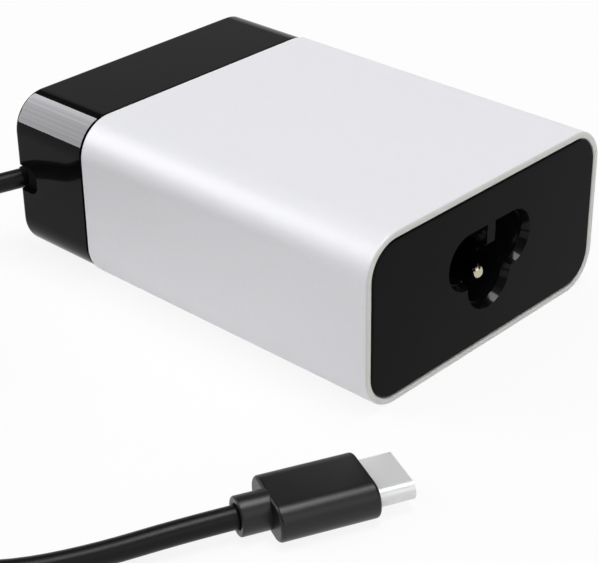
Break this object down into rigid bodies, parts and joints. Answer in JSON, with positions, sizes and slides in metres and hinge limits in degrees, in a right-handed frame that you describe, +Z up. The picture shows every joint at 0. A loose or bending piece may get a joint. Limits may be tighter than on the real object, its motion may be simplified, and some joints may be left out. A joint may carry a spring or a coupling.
{
  "type": "laptop power adapter",
  "caption": "Laptop power adapter: silver sleeve, black end cap, cloverleaf mains inlet and a captive black cord that ends in a USB-C plug.",
  "frame": {"origin": "middle of the housing's underside", "axes": "+X across the housing, +Y along it from the mains inlet to the end cap where the cord leaves, +Z up"},
  "size_m": [0.1184, 0.1087, 0.0254],
  "materials": {
    "silver_sleeve": "satin anodised silver",
    "black_panel": "fine satin black",
    "black_cap": "polished black",
    "inner_black": "moulded black",
    "plated_brass": "nickel plated",
    "board_green": "solder mask",
    "insulating_film": "smooth film",
    "component_yellow": "moulded case",
    "component_grey": "moulded case",
    "component_black": "moulded case",
    "component_blue": "lacquer dip",
    "thermistor_green": "lacquer dip",
    "ferrite": "sintered, dark grey",
    "copper_wire": "enamelled copper",
    "aluminium_can": "sleeved can",
    "bare_aluminium": "mill finish",
    "steel_screw": "plated",
    "thermal_silicone": "soft pad",
    "cord_black": "satin black jacket",
    "plug_shell_steel": "drawn, satin",
    "wire_red_black": "insulated wire"
  },
  "bodies": {
    "root": {"sleeve": "silver_sleeve", "front_panel": "black_panel", "rear_cap": "black_cap", "inner_tray": "inner_black", "inner_cover": "inner_black", "inlet_body": "inner_black", "line_pin": "plated_brass", "neutral_pin": "plated_brass", "earth_pin": "plated_brass", "terminal_tabs": "plated_brass", "main_board": "board_green", "controller_board": "board_green", "controller_chip": "component_black", "insulating_sheet": "insulating_film", "fuse": "component_black", "inrush_thermistor": "thermistor_green", "film_capacitor": "component_yellow", "choke_core": "ferrite", "choke_windings": "copper_wire", "bridge_rectifier": "component_black", "bulk_capacitor": "aluminium_can", "transformer_core": "ferrite", "transformer_bobbin": "component_black", "transformer_base": "component_black", "transformer_winding": "copper_wire", "switch_transistor": "component_black", "heatsink": "bare_aluminium", "clamp_screw": "steel_screw", "safety_capacitor": "component_blue", "output_capacitors": "aluminium_can", "output_choke": "component_grey", "optocoupler": "component_black", "heat_spreader": "bare_aluminium", "thermal_pad": "thermal_silicone", "output_wires": "wire_red_black", "cord_grommet": "cord_black", "cord_exit_run": "cord_black", "cord_coil": "cord_black", "cord_plug_run": "cord_black", "plug_overmould": "cord_black", "plug_shell": "plug_shell_steel", "plug_insert": "inner_black", "plug_contacts": "plated_brass", "plug_latches": "plug_shell_steel", "plug_board": "board_green"}
  },
  "joints": []
}
